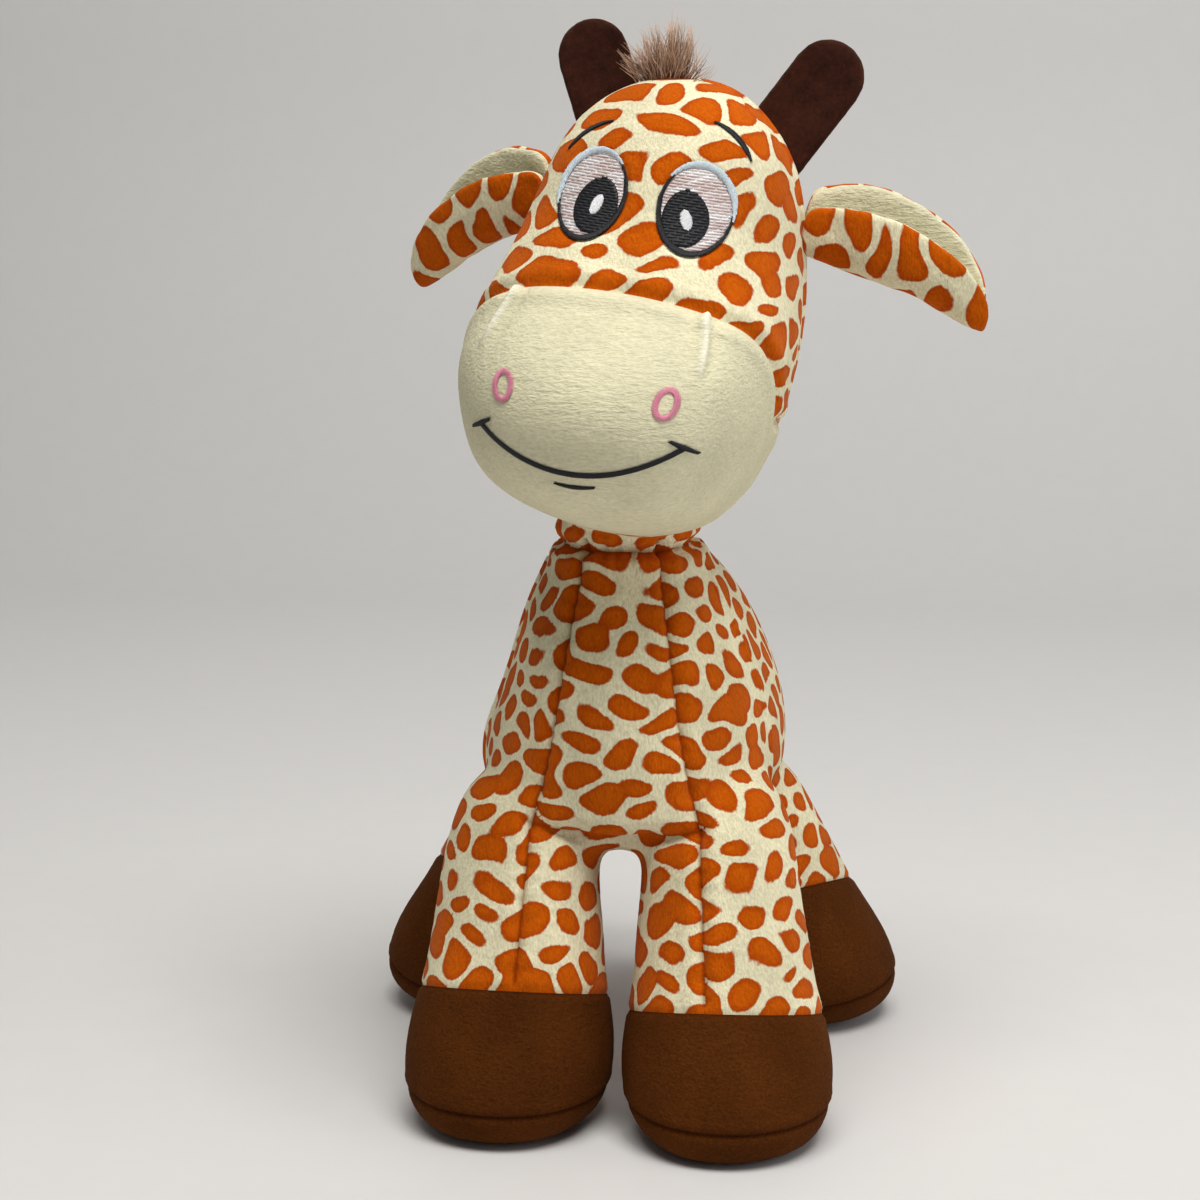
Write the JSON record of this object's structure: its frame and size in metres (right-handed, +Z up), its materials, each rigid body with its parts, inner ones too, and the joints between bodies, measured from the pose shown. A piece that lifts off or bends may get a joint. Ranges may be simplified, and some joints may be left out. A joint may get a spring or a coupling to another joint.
{
  "type": "plush giraffe",
  "caption": "Stuffed toy giraffe in spotted plush on splayed legs, with folded drooping ears, flat felt horns, a tuft of pile and an embroidered face.",
  "frame": {"origin": "middle of the bottom of the bounding box, on the plane that the hooves stand on", "axes": "+Z up, the toy looks along -Y, +X to the toy's left"},
  "size_m": [0.186, 0.1992, 0.3108],
  "materials": {
    "spotted_plush": "short pile, printed with orange brown spots on cream",
    "cream_plush": "short pile",
    "hoof_plush": "short pile",
    "horn_felt": "stiff felt",
    "long_pile": "long pile",
    "white_thread": "satin embroidery thread",
    "black_thread": "satin embroidery thread",
    "pink_thread": "satin embroidery thread"
  },
  "bodies": {
    "torso": {"torso": "spotted_plush", "chest_gusset": "spotted_plush"},
    "neck": {"neck": "spotted_plush"},
    "head": {"head": "spotted_plush", "muzzle": "cream_plush", "forelock": "long_pile", "left_eye": "white_thread", "right_eye": "white_thread", "left_pupil": "black_thread", "right_pupil": "black_thread", "left_brow": "black_thread", "right_brow": "black_thread", "left_nostril": "pink_thread", "right_nostril": "pink_thread", "mouth": "black_thread", "lower_lip": "black_thread"},
    "left_ear": {"left_ear": "spotted_plush", "left_ear_lining": "cream_plush"},
    "right_ear": {"right_ear": "spotted_plush", "right_ear_lining": "cream_plush"},
    "left_horn": {"left_horn": "horn_felt"},
    "right_horn": {"right_horn": "horn_felt"},
    "front_left_leg": {"front_left_leg_sleeve": "spotted_plush", "front_left_leg_hoof": "hoof_plush", "front_left_leg_sole": "hoof_plush"},
    "front_right_leg": {"front_right_leg_sleeve": "spotted_plush", "front_right_leg_hoof": "hoof_plush", "front_right_leg_sole": "hoof_plush"},
    "rear_left_leg": {"rear_left_leg_sleeve": "spotted_plush", "rear_left_leg_hoof": "hoof_plush", "rear_left_leg_sole": "hoof_plush"},
    "rear_right_leg": {"rear_right_leg_sleeve": "spotted_plush", "rear_right_leg_hoof": "hoof_plush", "rear_right_leg_sole": "hoof_plush"},
    "tail": {"tail": "spotted_plush", "tail_tuft": "long_pile"}
  },
  "joints": [
    {"name": "neck_turn", "type": "hinge", "parent": "torso", "child": "neck", "pos_m": [-0.00861, -0.02482, 0.168], "axis": [0, 0, 1], "range_deg": [-30, 30], "stiffness_Nm_per_rad": 1},
    {"name": "head_nod", "type": "hinge", "parent": "neck", "child": "head", "pos_m": [-0.00861, -0.02482, 0.168], "axis": [0.9806, -0.1378, -0.1392], "range_deg": [-6, 8], "stiffness_Nm_per_rad": 1.5},
    {"name": "left_ear_flap", "type": "hinge", "parent": "head", "child": "left_ear", "pos_m": [0.04034, -0.02766, 0.25373], "axis": [0.1636, -0.0175, 0.9864], "range_deg": [-20, 20], "stiffness_Nm_per_rad": 0.03},
    {"name": "right_ear_flap", "type": "hinge", "parent": "head", "child": "right_ear", "pos_m": [-0.03117, -0.01761, 0.26388], "axis": [-0.1236, 0.136, 0.983], "range_deg": [-8, 20], "stiffness_Nm_per_rad": 0.03},
    {"name": "left_horn_bend", "type": "hinge", "parent": "head", "child": "left_horn", "pos_m": [0.03485, -0.02487, 0.27647], "axis": [0.4488, -0.0631, -0.8914], "range_deg": [-15, 15], "stiffness_Nm_per_rad": 0.03},
    {"name": "right_horn_bend", "type": "hinge", "parent": "head", "child": "right_horn", "pos_m": [-0.01471, -0.0179, 0.28797], "axis": [0.7943, -0.1116, 0.5972], "range_deg": [-15, 15], "stiffness_Nm_per_rad": 0.03},
    {"name": "front_left_leg_swing", "type": "hinge", "parent": "torso", "child": "front_left_leg", "pos_m": [0.01939, -0.04332, 0.084], "axis": [1, 0, 0], "range_deg": [-15, 10], "stiffness_Nm_per_rad": 1},
    {"name": "front_right_leg_swing", "type": "hinge", "parent": "torso", "child": "front_right_leg", "pos_m": [-0.03661, -0.04332, 0.084], "axis": [1, 0, 0], "range_deg": [-15, 10], "stiffness_Nm_per_rad": 1},
    {"name": "rear_left_leg_swing", "type": "hinge", "parent": "torso", "child": "rear_left_leg", "pos_m": [0.02039, 0.02218, 0.077], "axis": [1, 0, 0], "range_deg": [-10, 20], "stiffness_Nm_per_rad": 1},
    {"name": "rear_right_leg_swing", "type": "hinge", "parent": "torso", "child": "rear_right_leg", "pos_m": [-0.03761, 0.02218, 0.077], "axis": [1, 0, 0], "range_deg": [-10, 20], "stiffness_Nm_per_rad": 1},
    {"name": "tail_swing", "type": "hinge", "parent": "torso", "child": "tail", "pos_m": [-0.00861, 0.05903, 0.098], "axis": [0, 0.7431, 0.6691], "range_deg": [-30, 30], "stiffness_Nm_per_rad": 0.02}
  ]
}
